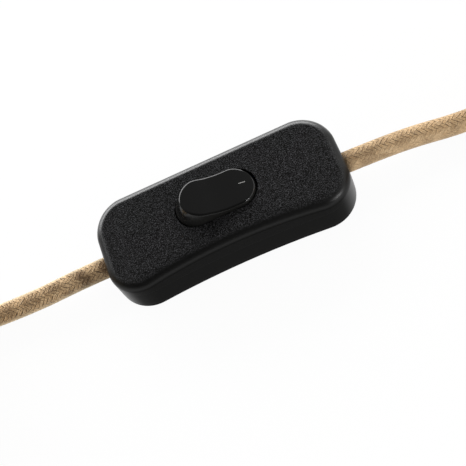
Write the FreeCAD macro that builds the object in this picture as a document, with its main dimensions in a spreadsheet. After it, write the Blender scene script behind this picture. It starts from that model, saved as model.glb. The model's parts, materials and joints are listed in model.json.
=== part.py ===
import FreeCAD, Part
import math
import os
from types import SimpleNamespace

import Sketcher
from FreeCAD import Placement, Rotation, Vector

# Inline cord switch on a braided lamp lead, in millimetres.
# X runs along the body towards the load end, Y to the back, Z up from the underside.

SIZES = {
    # housing
    "body_length": 80.0,
    "corner_width": 35.6,
    "waist_width": 30.6,
    "corner_radius": 10.9,
    "body_height": 18.2,
    "crown_drop": 3.9,
    "top_round": 3.6,
    "side_draft": 1.0,
    "wall": 2.0,
    "base_height": 3.0,
    "base_floor": 2.0,
    "bottom_round": 1.2,
    "lip_height": 1.2,
    "lip_wall": 1.2,
    "fit_gap": 0.15,
    # rocker
    "opening_length": 26.7,
    "rocker_gap": 0.25,
    "rocker_width": 13.3,
    "rim_width": 13.1,
    "pivot_depth": 3.0,
    "rocker_skirt": 2.0,
    "saddle_height": 5.05,
    "saddle_dip": 0.9,
    "saddle_wave": 7.4,
    "rim_round": 0.75,
    "end_taper": 0.9,
    "rocker_wall": 1.5,
    "rocker_tilt": 13.0,
    "trunnion_radius": 1.2,
    "trunnion_reach": 2.5,
    "trunnion_gap": 0.06,
    "ear_width": 6.0,
    "ear_drop": 2.0,
    "ear_gap": 0.5,
    "ear_wall": 2.2,
    # plunger and its stem
    "stem_radius": 2.4,
    "stem_drop": 5.6,
    "bore_radius": 1.35,
    "bore_top": 2.6,
    "plunger_radius": 1.27,
    "plunger_guide": 3.0,
    "tip_clearance": 0.15,
    "spring_wire": 0.2,
    "spring_pitch": 1.2,
    # contacts
    "seesaw_height": 6.5,
    "seesaw_tilt": 6.0,
    "seesaw_thick": 0.6,
    "seesaw_width": 4.4,
    "seesaw_reach": 9.6,
    "seesaw_pin": 0.5,
    "stop_thick": 0.92,
    "contact_reach": 8.0,
    "contact_radius": 1.4,
    "contact_thick": 1.0,
    "contact_gap": 0.1,
    "plate_thick": 0.8,
    "bracket_wall": 0.8,
    "bracket_gap": 0.3,
    "notch_gap": 0.08,
    # terminals
    "block_size": 6.0,
    "block_height": 6.4,
    "block_reach": 16.0,
    "block_offset": 5.0,
    "neutral_length": 16.0,
    "neutral_offset": 8.5,
    "neutral_screw_inset": 3.4,
    "wire_height": 5.2,
    "wire_hole": 1.1,
    "core_radius": 1.0,
    "terminal_screw": 1.25,
    "terminal_head": 1.9,
    "terminal_head_height": 1.2,
    # cord, clamps and housing screws
    "cord_radius": 3.35,
    "cord_height": 5.6,
    "slot_radius": 4.0,
    "sheath_inset": 12.6,
    "clamp_inset": 9.0,
    "clamp_length": 5.0,
    "clamp_width": 19.0,
    "clamp_top": 10.6,
    "clamp_foot": 5.2,
    "clamp_screw_offset": 7.3,
    "clamp_post": 2.2,
    "clamp_screw": 1.0,
    "clamp_head": 1.9,
    "clamp_head_height": 1.3,
    "saddle_top": 4.0,
    "screw_inset": 16.0,
    "screw_offset": 11.4,
    "boss_radius": 2.6,
    "boss_pad": 4.0,
    "screw_radius": 1.25,
    "screw_hole": 1.5,
    "screw_head": 2.2,
    "screw_head_height": 1.1,
    "counterbore_depth": 1.6,
    "screw_grip": 8.0,
    # hanks of put-away cord
    "supply_hank_reach": 140.8,
    "load_hank_reach": 142.8,
    "fold_radius": 20.5,
    "waist_radius": 20.0,
    "strand_offset": 3.5,
    "supply_layers": 3.0,
    "load_layers": 3.0,
    "hank_round": 2.6,
    "tie_width": 6.0,
    "tie_thick": 0.6,
    "tie_bite": 0.1,
    # plug and bare end
    "plug_start": 2.0,
    "relief_length": 20.0,
    "relief_tip": 4.2,
    "relief_root": 5.2,
    "shoulder_length": 12.0,
    "plug_grip": 14.0,
    "plug_width": 35.0,
    "plug_thick": 13.7,
    "neck_width": 15.0,
    "neck_thick": 11.0,
    "pin_radius": 2.0,
    "pin_length": 19.0,
    "pin_seat": 8.0,
    "pin_shank": 1.6,
    "pin_pitch": 18.6,
    "pin_round": 1.2,
    "ferrule_radius": 0.8,
    "ferrule_length": 8.0,
}

doc = FreeCAD.newDocument("InlineCordSwitch")
sheet = doc.addObject("Spreadsheet::Sheet", "sizes")
for row, (name, value) in enumerate(SIZES.items(), start=1):
    sheet.set(f"A{row}", name)
    sheet.set(f"B{row}", str(value))
    sheet.setAlias(f"B{row}", name)
doc.recompute()


class Dim:
    """A length worked out from the sheet: its number now, and its expression."""

    def __init__(self, value, text):
        self.value = float(value)
        self.text = text

    def __add__(self, other):
        other = dim(other)
        return Dim(self.value + other.value, f"({self.text} + {other.text})")

    def __sub__(self, other):
        other = dim(other)
        return Dim(self.value - other.value, f"({self.text} - {other.text})")

    def __mul__(self, other):
        other = dim(other)
        return Dim(self.value * other.value, f"({self.text} * {other.text})")

    def __truediv__(self, other):
        other = dim(other)
        return Dim(self.value / other.value, f"({self.text} / {other.text})")

    def __neg__(self):
        return Dim(-self.value, f"(0 - {self.text})")

    def root(self):
        return Dim(math.sqrt(self.value), f"sqrt({self.text})")

    def cos(self):
        return Dim(math.cos(math.radians(self.value)), f"cos({self.text})")

    def sin(self):
        return Dim(math.sin(math.radians(self.value)), f"sin({self.text})")


def dim(number):
    """Any number as a Dim."""
    return number if isinstance(number, Dim) else Dim(number, f"({float(number):.6g})")


S = SimpleNamespace(**{name: Dim(value, f"sizes.{name}") for name, value in SIZES.items()})
parts = []


def bind(thing, prop, length):
    thing.setExpression(prop, dim(length).text)


def circle_radius(half_chord, sagitta):
    """Radius of the arc that rises by sagitta over half_chord."""
    return (half_chord * half_chord + sagitta * sagitta) / (sagitta * 2)


# Bodies, sketches and features

def new_body(label, height=None, tilt=None):
    """A sub-part's body, lifted to height and turned about Y where it is tilted."""
    body = doc.addObject("PartDesign::Body", label)
    body.Label = label
    if height is not None:
        body.Placement = Placement(Vector(0, 0, height.value), Rotation())
        bind(body, "Placement.Base.z", height)
    if tilt is not None:
        body.Placement = Placement(body.Placement.Base, Rotation(Vector(0, 1, 0), tilt.value))
        bind(body, "Placement.Rotation.Angle", tilt)
    parts.append(body)
    return body


def new_sketch(body, plane="XY_Plane", offset=None):
    """A sketch on one of the body's own planes, moved along its normal by offset."""
    sketch = body.newObject("Sketcher::SketchObject", f"{body.Name}_sketch")
    support = next(f for f in body.Origin.OriginFeatures if f.Role == plane)
    sketch.AttachmentSupport = (support, [""])
    sketch.MapMode = "FlatFace"
    if offset is not None:
        sketch.AttachmentOffset = Placement(Vector(0, 0, dim(offset).value), Rotation())
        bind(sketch, "AttachmentOffset.Base.z", offset)
    return sketch


def constrain(sketch, kind, *where, length):
    index = sketch.addConstraint(Sketcher.Constraint(kind, *where, dim(length).value))
    bind(sketch, f"Constraints[{index}]", length)


def place(sketch, point, x, y):
    """Ties a sketch point to x and y."""
    for kind, axis, length in (("DistanceX", -2, x), ("DistanceY", -1, y)):
        if abs(dim(length).value) < 1e-9:
            sketch.addConstraint(Sketcher.Constraint("PointOnObject", *point, axis))
        else:
            constrain(sketch, kind, -1, 1, *point, length=length)


def add_arc(sketch, start, end, radius, bulge):
    """An arc from start to end, outward of a counter-clockwise outline where bulge is 1."""
    half = (end - start) / 2
    rise = math.sqrt(max(radius.value ** 2 - half.Length ** 2, 0))
    centre = start + half + Vector(-half.y, half.x, 0).normalize() * rise * bulge
    circle = Part.Circle(centre, Vector(0, 0, 1), radius.value)
    first = math.atan2(start.y - centre.y, start.x - centre.x)
    last = math.atan2(end.y - centre.y, end.x - centre.x)
    if bulge < 0:
        first, last = last, first
    if last < first:
        last += 2 * math.pi
    arc = sketch.addGeometry(Part.ArcOfCircle(circle, first, last))
    constrain(sketch, "Radius", arc, length=radius)
    ends = ((arc, 1), (arc, 2))
    return ends if bulge > 0 else ends[::-1]


def outline(sketch, corners, arcs=None):
    """A closed profile through corners, with arcs {side: (radius, bulge)} where it is round."""
    arcs = arcs or {}
    points = [Vector(dim(x).value, dim(y).value, 0) for x, y in corners]
    ends = []
    for side, start in enumerate(points):
        end = points[(side + 1) % len(points)]
        if side in arcs:
            ends.append(add_arc(sketch, start, end, *arcs[side]))
        else:
            line = sketch.addGeometry(Part.LineSegment(start, end))
            ends.append(((line, 1), (line, 2)))
    for side, (x, y) in enumerate(corners):
        sketch.addConstraint(Sketcher.Constraint("Coincident", *ends[side - 1][1], *ends[side][0]))
        place(sketch, ends[side][0], x, y)
    return sketch


def rectangle(sketch, left, right, low, high):
    return outline(sketch, [(left, low), (right, low), (right, high), (left, high)])


def disc(sketch, x, y, radius):
    centre = Vector(dim(x).value, dim(y).value, 0)
    circle = sketch.addGeometry(Part.Circle(centre, Vector(0, 0, 1), dim(radius).value))
    constrain(sketch, "Radius", circle, length=radius)
    place(sketch, (circle, 3), x, y)
    return sketch


def stadium(sketch, length, width, x=0, y=0):
    """A slot outline along the sketch's X, about x and y."""
    radius = width / 2
    reach = length / 2 - radius
    x, y = dim(x), dim(y)
    right_x, left_x = x + reach, x - reach
    up = Vector(0, 0, 1)
    quarter = math.pi / 2
    ends = []
    for centre, first in ((right_x, -quarter), (left_x, quarter)):
        circle = Part.Circle(Vector(centre.value, y.value, 0), up, radius.value)
        arc = sketch.addGeometry(Part.ArcOfCircle(circle, first, first + math.pi))
        constrain(sketch, "Radius", arc, length=radius)
        place(sketch, (arc, 3), centre, y)
        ends.append(arc)
    right, left = ends
    sides = []
    for start, end, level in ((right_x, left_x, y + radius), (left_x, right_x, y - radius)):
        line = Part.LineSegment(Vector(start.value, level.value, 0), Vector(end.value, level.value, 0))
        sides.append(sketch.addGeometry(line))
    top, bottom = sides
    for join in ((right, 2, top, 1), (top, 2, left, 1), (left, 2, bottom, 1), (bottom, 2, right, 1)):
        sketch.addConstraint(Sketcher.Constraint("Tangent", *join))
    return sketch


def arch(sketch, radius, low, spring):
    """An upright slot about the Y axis: straight from low to spring, with a round top."""
    r, bottom, top = radius.value, dim(low).value, dim(spring).value
    circle = Part.Circle(Vector(0, top, 0), Vector(0, 0, 1), r)
    arc = sketch.addGeometry(Part.ArcOfCircle(circle, 0, math.pi))
    ends = (((r, bottom), (r, top)), ((-r, top), (-r, bottom)), ((-r, bottom), (r, bottom)))
    right, left, foot = (
        sketch.addGeometry(Part.LineSegment(Vector(*start, 0), Vector(*end, 0))) for start, end in ends
    )
    constrain(sketch, "Radius", arc, length=radius)
    place(sketch, (arc, 3), 0, spring)
    for kind, where in (
        ("Tangent", (right, 2, arc, 1)), ("Tangent", (arc, 2, left, 1)),
        ("Coincident", (left, 2, foot, 1)), ("Coincident", (foot, 2, right, 1)),
        ("Vertical", (right,)), ("Vertical", (left,)), ("Horizontal", (foot,)),
    ):
        sketch.addConstraint(Sketcher.Constraint(kind, *where))
    constrain(sketch, "DistanceY", -1, 1, foot, 1, length=low)
    return sketch


def feature(body, kind, sketch, length=None, symmetric=False, reverse=False, taper=None):
    """A pad or a pocket from a sketch. With no length it goes through everything."""
    volume = body.Shape.Volume if body.Tip else 0.0
    made = body.newObject(f"PartDesign::{kind}", f"{body.Name}_{kind.lower()}")
    made.Profile = sketch
    if length is None:
        made.Type = "ThroughAll"
    else:
        bind(made, "Length", length)
    if symmetric:
        made.SideType = "Symmetric"
    made.Reversed = reverse
    if taper is not None:
        bind(made, "TaperAngle", taper)
    doc.recompute()
    grew = body.Shape.Volume - volume
    if (grew > 0) != (kind == "Pad") or abs(grew) < 1e-6:
        raise RuntimeError(f"{made.Name} changed the volume by {grew:.4f}")
    return made


def pad(body, sketch, length, **how):
    return feature(body, "Pad", sketch, length, **how)


def pocket(body, sketch, length=None, **how):
    return feature(body, "Pocket", sketch, length, **how)


def round_edges(body, radius, wanted):
    """A fillet on the edges of the body that wanted picks."""
    base = body.Tip
    edges = [f"Edge{i}" for i, edge in enumerate(base.Shape.Edges, start=1) if wanted(edge)]
    made = body.newObject("PartDesign::Fillet", f"{body.Name}_fillet")
    made.Base = (base, edges)
    bind(made, "Radius", radius)
    doc.recompute()
    return made


def revolve(body, sketch):
    made = body.newObject("PartDesign::Revolution", f"{body.Name}_revolution")
    made.Profile = sketch
    made.ReferenceAxis = (sketch, ["V_Axis"])
    made.Angle = 360
    doc.recompute()
    return made


def loft(body, sections):
    made = body.newObject("PartDesign::AdditiveLoft", f"{body.Name}_loft")
    made.Profile = sections[0]
    made.Sections = sections[1:]
    doc.recompute()
    return made


def upright(low, high):
    """Picks straight edges that stand from low to high or nearly so."""
    def wanted(edge):
        box = edge.BoundBox
        return box.ZMin < low.value + 0.01 and box.ZMax > high.value - 0.01 and box.ZLength > 0.5
    return wanted


def on_face(body, choose):
    """Picks the edges of the body's highest or lowest face, where choose is max or min."""
    face = choose(body.Tip.Shape.Faces, key=lambda face: face.CenterOfMass.z)
    return lambda edge: any(edge.isSame(other) for other in face.Edges)


def waisted(sketch, inset):
    """The housing's waisted plan with round corners, moved inwards by inset."""
    end = S.body_length / 2 - inset
    corner = S.corner_radius - inset
    side = circle_radius(S.body_length / 2, (S.corner_width - S.waist_width) / 2) + inset
    side_centre = S.waist_width / 2 - inset + side
    reach = end - corner
    span = side + corner
    rise = (span * span - reach * reach).root()
    y = side_centre - rise
    touch_x = reach - corner * reach / span
    touch_y = y + corner * rise / span
    corners = [(-touch_x, -touch_y), (touch_x, -touch_y), (end, -y), (end, y)]
    corners += [(touch_x, touch_y), (-touch_x, touch_y), (-end, y), (-end, -y)]
    arcs = {0: (side, -1), 1: (corner, 1), 3: (corner, 1), 4: (side, -1), 5: (corner, 1), 7: (corner, 1)}
    return outline(sketch, corners, arcs)


def crown_at(reach):
    """Height of the crowned top above the underside, at a distance along the body."""
    radius = circle_radius(S.body_length / 2, S.crown_drop)
    return S.body_height - radius + (radius * radius - reach * reach).root()


end_reach = S.body_length / 2
clamp_reach = end_reach - S.clamp_inset
sheath_reach = end_reach - S.sheath_inset
screw_reach = end_reach - S.screw_inset
pivot_height = S.body_height - S.pivot_depth
tip_radius = S.plunger_radius
ear_inner = S.rocker_width / 2 + S.ear_gap
ear_outer = ear_inner + S.ear_wall


# Housing shells

def make_base():
    body = new_body("base_shell")
    pad(body, waisted(new_sketch(body), dim(0)), S.base_height)
    round_edges(body, S.bottom_round, on_face(body, min))
    lip = S.wall + S.fit_gap
    pad(body, waisted(new_sketch(body, offset=S.base_height), lip), S.lip_height)
    rim = S.base_height + S.lip_height
    inner = lip + S.lip_wall
    pocket(body, waisted(new_sketch(body, offset=rim), inner), rim - S.base_floor)
    for side in (-1, 1):
        x, y = screw_reach * side, S.screw_offset * side
        boss = disc(new_sketch(body, offset=S.base_floor), x, y, S.boss_pad)
        pad(body, boss, S.base_height - S.base_floor)
        room = disc(new_sketch(body, offset=rim), x, y, S.boss_radius + S.fit_gap)
        pocket(body, room, S.lip_height)
        counterbore = disc(new_sketch(body), x, y, S.screw_head + S.fit_gap)
        pocket(body, counterbore, S.counterbore_depth, reverse=True)
        pocket(body, disc(new_sketch(body), x, y, S.screw_hole), S.base_height, reverse=True)
        near, far = clamp_reach - S.clamp_length / 2, clamp_reach + S.clamp_length / 2
        left, right = (near, far) if side > 0 else (-far, -near)
        saddle = rectangle(new_sketch(body, offset=S.base_floor), left, right, -S.slot_radius, S.slot_radius)
        pad(body, saddle, S.saddle_top - S.base_floor)
        for rear in (-1, 1):
            at = clamp_reach * side, S.clamp_screw_offset * rear
            post = S.clamp_foot - S.base_floor
            pad(body, disc(new_sketch(body, offset=S.base_floor), *at, S.clamp_post), post)
            pocket(body, disc(new_sketch(body, offset=S.clamp_foot), *at, S.clamp_screw), post)
    pocket(body, disc(new_sketch(body, "YZ_Plane"), 0, S.cord_height, S.cord_radius), symmetric=True)
    return body


def crowned_block(body, inset):
    """A drafted block on the parting plane under the crowned top, moved inwards by inset."""
    rise = S.body_height - S.base_height - inset
    pad(body, waisted(new_sketch(body, offset=S.base_height), inset), rise, taper=-S.side_draft)
    crown = circle_radius(S.body_length / 2, S.crown_drop)
    half = S.body_length / 2 - inset
    high = S.body_height - inset
    low = high - (crown - inset) + ((crown - inset) * (crown - inset) - half * half).root()
    above = [(-half, low), (half, low), (half, high + 1), (-half, high + 1)]
    pocket(body, outline(new_sketch(body, "XZ_Plane"), above, {0: (crown - inset, -1)}), symmetric=True)


def make_cover():
    body = new_body("top_cover")
    crowned_block(body, dim(0))
    round_edges(body, S.top_round, on_face(body, max))
    core = new_body("cover_core")
    parts.remove(core)
    crowned_block(core, S.wall)
    round_edges(core, S.top_round - S.wall * 0.7, on_face(core, max))
    hollow = body.newObject("PartDesign::Boolean", "cover_hollow")
    hollow.Type = "Cut"
    hollow.setObjects([core])
    doc.recompute()
    width = S.rocker_width + S.rocker_gap * 2
    opening = stadium(new_sketch(body, offset=S.body_height), S.opening_length, width)
    pocket(body, opening, S.wall + S.crown_drop)
    slot = arch(new_sketch(body, "YZ_Plane"), S.slot_radius, S.base_height / 2, S.cord_height)
    pocket(body, slot, symmetric=True)
    ear_low = pivot_height - S.ear_drop
    ear_rise = S.body_height - S.wall / 2 - ear_low
    for low, high in ((ear_inner, ear_outer), (-ear_outer, -ear_inner)):
        ear = rectangle(new_sketch(body, offset=ear_low), -S.ear_width / 2, S.ear_width / 2, low, high)
        pad(body, ear, ear_rise)
    notch = S.trunnion_radius + S.trunnion_gap
    across = (ear_outer + S.fit_gap) * 2
    mouth = arch(new_sketch(body, "XZ_Plane"), notch, ear_low - S.ear_drop, pivot_height)
    pocket(body, mouth, across, symmetric=True)
    boss_rise = crown_at(screw_reach) - S.wall / 2 - S.base_height
    for side in (-1, 1):
        at = screw_reach * side, S.screw_offset * side
        pad(body, disc(new_sketch(body, offset=S.base_height), *at, S.boss_radius), boss_rise)
        hole = disc(new_sketch(body, offset=S.base_height), *at, S.screw_radius)
        pocket(body, hole, S.screw_grip, reverse=True)
    return body


# Rocker, plunger and spring, drawn upright about the pivot and then tilted

def make_rocker():
    body = new_body("rocker", pivot_height, S.rocker_tilt)
    radius = S.opening_length / 2 - S.rocker_gap
    top = S.saddle_height + S.saddle_dip + 1
    middle = (S.rocker_width + S.rim_width) / 2
    widths = (S.rocker_width, S.rocker_width, middle, S.rim_width)
    levels = (-S.rocker_skirt, S.rim_round * 2, S.pivot_depth + 1, top)
    tapers = (dim(0), dim(0), S.end_taper / 2, S.end_taper)
    sections = []
    for level, width, taper in zip(levels, widths, tapers):
        length = (radius * radius - level * level).root() * 2 - taper
        sections.append(stadium(new_sketch(body, offset=level), length, width))
    loft(body, sections)
    half_wave, half_dip = S.saddle_wave / 2, S.saddle_dip / 2
    bend = circle_radius(half_wave, half_dip)
    run_out = radius - S.saddle_wave
    mean = S.saddle_height + half_dip
    end = mean + half_dip - bend + (bend * bend - run_out * run_out).root()
    high = top + 1
    above = [
        (-radius, end), (-half_wave, mean), (half_wave, mean), (radius, end), (radius, high), (-radius, high),
    ]
    saddle = {0: (bend, -1), 1: (bend, 1), 2: (bend, -1)}
    pocket(body, outline(new_sketch(body, "XZ_Plane"), above, saddle), symmetric=True)
    lowest = (S.saddle_height - half_dip / 2).value
    round_edges(body, S.rim_round, lambda edge: edge.BoundBox.ZMin > lowest and edge.BoundBox.XLength > 0.01)
    trunnions = disc(new_sketch(body, "XZ_Plane"), 0, 0, S.trunnion_radius)
    pad(body, trunnions, S.rocker_width + S.trunnion_reach * 2, symmetric=True)
    skirt = (radius * radius - S.rocker_skirt * S.rocker_skirt).root() * 2
    inside = skirt - S.rocker_wall * 2, S.rocker_width - S.rocker_wall * 2
    roof = S.saddle_height - S.rocker_wall
    hollow = stadium(new_sketch(body, offset=-S.rocker_skirt), *inside)
    pocket(body, hollow, roof + S.rocker_skirt, reverse=True)
    stem = disc(new_sketch(body, offset=-S.stem_drop), 0, 0, S.stem_radius)
    pad(body, stem, S.stem_drop + roof + S.rocker_wall / 4)
    bore = disc(new_sketch(body, offset=-S.stem_drop), 0, 0, S.bore_radius)
    pocket(body, bore, S.stem_drop + S.bore_top, reverse=True)
    return body


seesaw_top = S.seesaw_height + S.seesaw_thick / 2
tip_reach = pivot_height - seesaw_top - S.tip_clearance
plunger_back = S.stem_drop - S.plunger_guide


def make_plunger():
    body = new_body("plunger", pivot_height, S.rocker_tilt)
    shoulder = -(tip_reach - tip_radius)
    profile = [(0, -tip_reach), (tip_radius, shoulder), (tip_radius, -plunger_back), (0, -plunger_back)]
    revolve(body, outline(new_sketch(body, "XZ_Plane"), profile, {0: (tip_radius, 1)}))
    return body


def make_spring():
    body = new_body("plunger_spring", pivot_height, S.rocker_tilt)
    coil = S.bore_radius - S.fit_gap - S.spring_wire
    start = S.spring_wire - plunger_back
    wire = disc(new_sketch(body, "XZ_Plane"), coil, start, S.spring_wire)
    helix = body.newObject("PartDesign::AdditiveHelix", "spring_helix")
    helix.Profile = wire
    helix.ReferenceAxis = (wire, ["V_Axis"])
    helix.Mode = "pitch-height-angle"
    bind(helix, "Pitch", S.spring_pitch)
    bind(helix, "Height", S.bore_top + plunger_back - S.spring_wire * 2)
    doc.recompute()
    return body


# Contacts and terminals

plate_top = S.base_floor + S.plate_thick
block_top = S.base_floor + S.block_height
neutral_screw_reach = S.neutral_length / 2 - S.neutral_screw_inset
bracket_inner = S.seesaw_width / 2 + S.bracket_gap
bracket_outer = bracket_inner + S.bracket_wall


def make_contact_rocker():
    """The see-saw strip on round pivot pins, with a stop boss that balances its contact."""
    body = new_body("contact_rocker", S.seesaw_height, -S.seesaw_tilt)
    pad(body, stadium(new_sketch(body), S.seesaw_reach * 2, S.seesaw_width), S.seesaw_thick, symmetric=True)
    root = S.seesaw_width / 2 - S.bracket_gap
    pin = bracket_outer + S.notch_gap - root
    for side in (-1, 1):
        face = new_sketch(body, "XZ_Plane", root * -side)
        pad(body, disc(face, 0, 0, S.seesaw_pin), pin, reverse=side > 0)
    underside = new_sketch(body, offset=-S.seesaw_thick / 2)
    pad(body, disc(underside, S.contact_reach, 0, S.contact_radius), S.stop_thick, reverse=True)
    return body


def make_moving_contact():
    body = new_body("moving_contact", S.seesaw_height, -S.seesaw_tilt)
    face = new_sketch(body, offset=-S.seesaw_thick / 2)
    pad(body, disc(face, -S.contact_reach, 0, S.contact_radius), S.contact_thick, reverse=True)
    return body


def make_fixed_contact():
    """Stands on the line-in plate, just short of the closed moving contact."""
    body = new_body("fixed_contact")
    drop = S.seesaw_thick / 2 + S.contact_thick
    low = S.contact_reach + S.contact_radius
    closed = S.seesaw_height - low * S.seesaw_tilt.sin() - drop * S.seesaw_tilt.cos()
    rise = closed - S.contact_gap - plate_top
    pad(body, disc(new_sketch(body, offset=plate_top), -S.contact_reach, 0, S.contact_radius), rise)
    return body


def terminal_holes(body, screws, y):
    """Wire holes along X and screw holes from above in a terminal block."""
    wire = disc(new_sketch(body, "YZ_Plane"), y, S.wire_height, S.wire_hole)
    pocket(body, wire, symmetric=True)
    for x in screws:
        hole = disc(new_sketch(body, offset=block_top), x, y, S.terminal_screw)
        pocket(body, hole, block_top - S.wire_height)


def make_line_in():
    body = new_body("line_in_terminal")
    left = -(S.block_reach + S.block_size / 2)
    front = -(S.block_offset + S.block_size / 2)
    right = -(S.contact_reach - S.contact_radius)
    step = -(S.block_reach - S.block_size / 2)
    back = S.contact_radius + S.contact_gap * 4
    strip = -back
    plan = [(left, front), (step, front), (step, strip), (right, strip), (right, back), (left, back)]
    pad(body, outline(new_sketch(body, offset=S.base_floor), plan), S.plate_thick)
    block = rectangle(new_sketch(body, offset=plate_top), left, step, front, front + S.block_size)
    pad(body, block, S.block_height - S.plate_thick)
    terminal_holes(body, [-S.block_reach], -S.block_offset)
    return body


def make_line_out():
    body = new_body("line_out_terminal")
    right = S.block_reach + S.block_size / 2
    front = -(S.block_offset + S.block_size / 2)
    step = S.block_reach - S.block_size / 2
    foot = S.seesaw_pin + S.bracket_wall * 2
    plan = [(-foot, -bracket_outer), (step, -bracket_outer), (step, front), (right, front)]
    plan += [(right, bracket_outer), (-foot, bracket_outer)]
    pad(body, outline(new_sketch(body, offset=S.base_floor), plan), S.plate_thick)
    block = rectangle(new_sketch(body, offset=plate_top), step, right, front, front + S.block_size)
    pad(body, block, S.block_height - S.plate_thick)
    for low, high in ((bracket_inner, bracket_outer), (-bracket_outer, -bracket_inner)):
        cheek = rectangle(new_sketch(body, offset=plate_top), -foot, foot, low, high)
        pad(body, cheek, seesaw_top - plate_top + S.seesaw_thick)
    terminal_holes(body, [S.block_reach], -S.block_offset)
    half = S.seesaw_pin + S.notch_gap
    bottom = S.seesaw_height - half
    notch = rectangle(new_sketch(body, "XZ_Plane"), -half, half, bottom, seesaw_top + S.block_size)
    pocket(body, notch, bracket_outer * 2 + 1, symmetric=True)
    return body


def make_neutral():
    body = new_body("neutral_connector")
    half = S.neutral_length / 2
    low, high = S.neutral_offset - S.block_size / 2, S.neutral_offset + S.block_size / 2
    pad(body, rectangle(new_sketch(body, offset=S.base_floor), -half, half, low, high), S.block_height)
    round_edges(body, S.block_size / 8, upright(S.base_floor, block_top))
    terminal_holes(body, [-neutral_screw_reach, neutral_screw_reach], S.neutral_offset)
    return body


def make_screw(label, x, y, tip, head_low, shank, head, head_height):
    """A slotted screw standing along Z, head up where head_low is above tip."""
    body = new_body(label)
    up = head_low.value > tip.value
    length = head_low - tip if up else tip - head_low
    pad(body, disc(new_sketch(body, offset=tip if up else head_low), x, y, shank), length)
    pad(body, disc(new_sketch(body, offset=head_low), x, y, head), head_height, reverse=not up)
    crown = head_low + head_height if up else head_low - head_height
    slot = rectangle(new_sketch(body, offset=crown), x - head * 2, x + head * 2, y - shank / 4, y + shank / 4)
    pocket(body, slot, head_height / 2, reverse=not up)
    return body


# Tubes for the cord and its cores: straight runs joined by tangent arcs

def tube_wire(points):
    """The path through points, and the radii of its arcs."""
    edges, radii = [], []
    at = points[0]
    for before, here, after in zip(points, points[1:], points[2:]):
        arriving, leaving = (here - before), (after - here)
        shorter = min(arriving.Length, leaving.Length)
        turn = arriving.getAngle(leaving)
        arriving.normalize()
        leaving.normalize()
        first = here - arriving * shorter * 0.45
        last = here + leaving * shorter * 0.45
        radius = shorter * 0.45 / math.tan(turn / 2)
        inward = (leaving - arriving).normalize()
        middle = here + inward * (radius / math.cos(turn / 2) - radius)
        edges.append(Part.LineSegment(at, first).toShape())
        edges.append(Part.Arc(first, middle, last).toShape())
        radii.append(radius)
        at = last
    edges.append(Part.LineSegment(at, points[-1]).toShape())
    return Part.Wire(edges), radii


def make_tube(label, points, radius):
    wire, radii = tube_wire(points)
    section = Part.makeCircle(radius.value, points[0], points[1] - points[0])
    shape = wire.makePipeShell([Part.Wire([section])], True, False)
    expected = math.pi * radius.value ** 2 * wire.Length
    if abs(shape.Volume / expected - 1) > 0.02:
        raise RuntimeError(f"{label} has volume {shape.Volume:.1f}, not {expected:.1f}")
    made = doc.addObject("Part::Feature", label)
    made.Label = label
    made.Shape = shape
    made.Placement = Placement()
    parts.append(made)
    print(label, "length", round(wire.Length, 1), "radii", [round(r) for r in radii])
    return made


def make_cord_end(label, side):
    """The sheathed cord from the housing's end wall to the cores."""
    body = new_body(label)
    end = S.body_length / 2 if side > 0 else -sheath_reach
    circle = disc(new_sketch(body, "YZ_Plane", end), 0, S.cord_height, S.cord_radius)
    pad(body, circle, S.body_length / 2 - sheath_reach, reverse=True)
    return body


def core_points(side, lane, target_x, target_y):
    """A core's route from the end of the sheath into its terminal hole."""
    start = Vector(side * sheath_reach.value, lane.value, S.cord_height.value)
    goal = Vector(side * target_x.value, target_y.value, S.wire_height.value)
    step = Vector(side * (sheath_reach - target_x).value * 0.24, 0, 0)
    return [start, start - step, goal + step * 1.6, goal]


def make_cores():
    line = S.block_reach + S.block_size / 4, -S.block_offset
    neutral = S.neutral_length / 2 - S.block_size / 4, S.neutral_offset
    lane = S.core_radius * 1.25
    for name, side in (("supply", -1), ("load", 1)):
        make_tube(f"{name}_line_core", core_points(side, -lane, *line), S.core_radius)
        make_tube(f"{name}_neutral_core", core_points(side, lane, *neutral), S.core_radius)


# Cord clamps

def make_clamp(label, side):
    body = new_body(label)
    half = S.clamp_width / 2
    shoulder = S.cord_radius + S.wall
    foot_top = S.clamp_foot + S.wall
    right = [(half, S.clamp_foot), (half, foot_top), (shoulder, foot_top), (S.cord_radius, S.clamp_top)]
    profile = right + [(-y, z) for y, z in reversed(right)]
    start = clamp_reach * side - S.clamp_length / 2
    pad(body, outline(new_sketch(body, "YZ_Plane", start), profile), S.clamp_length)
    grip = disc(new_sketch(body, "YZ_Plane", start), 0, S.cord_height, S.cord_radius)
    pocket(body, grip, S.clamp_length, reverse=True)
    for rear in (-1, 1):
        at = clamp_reach * side, S.clamp_screw_offset * rear
        pocket(body, disc(new_sketch(body, offset=foot_top), *at, S.clamp_screw), S.wall)
    return body


# Hanks of put-away cord with their ties

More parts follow.
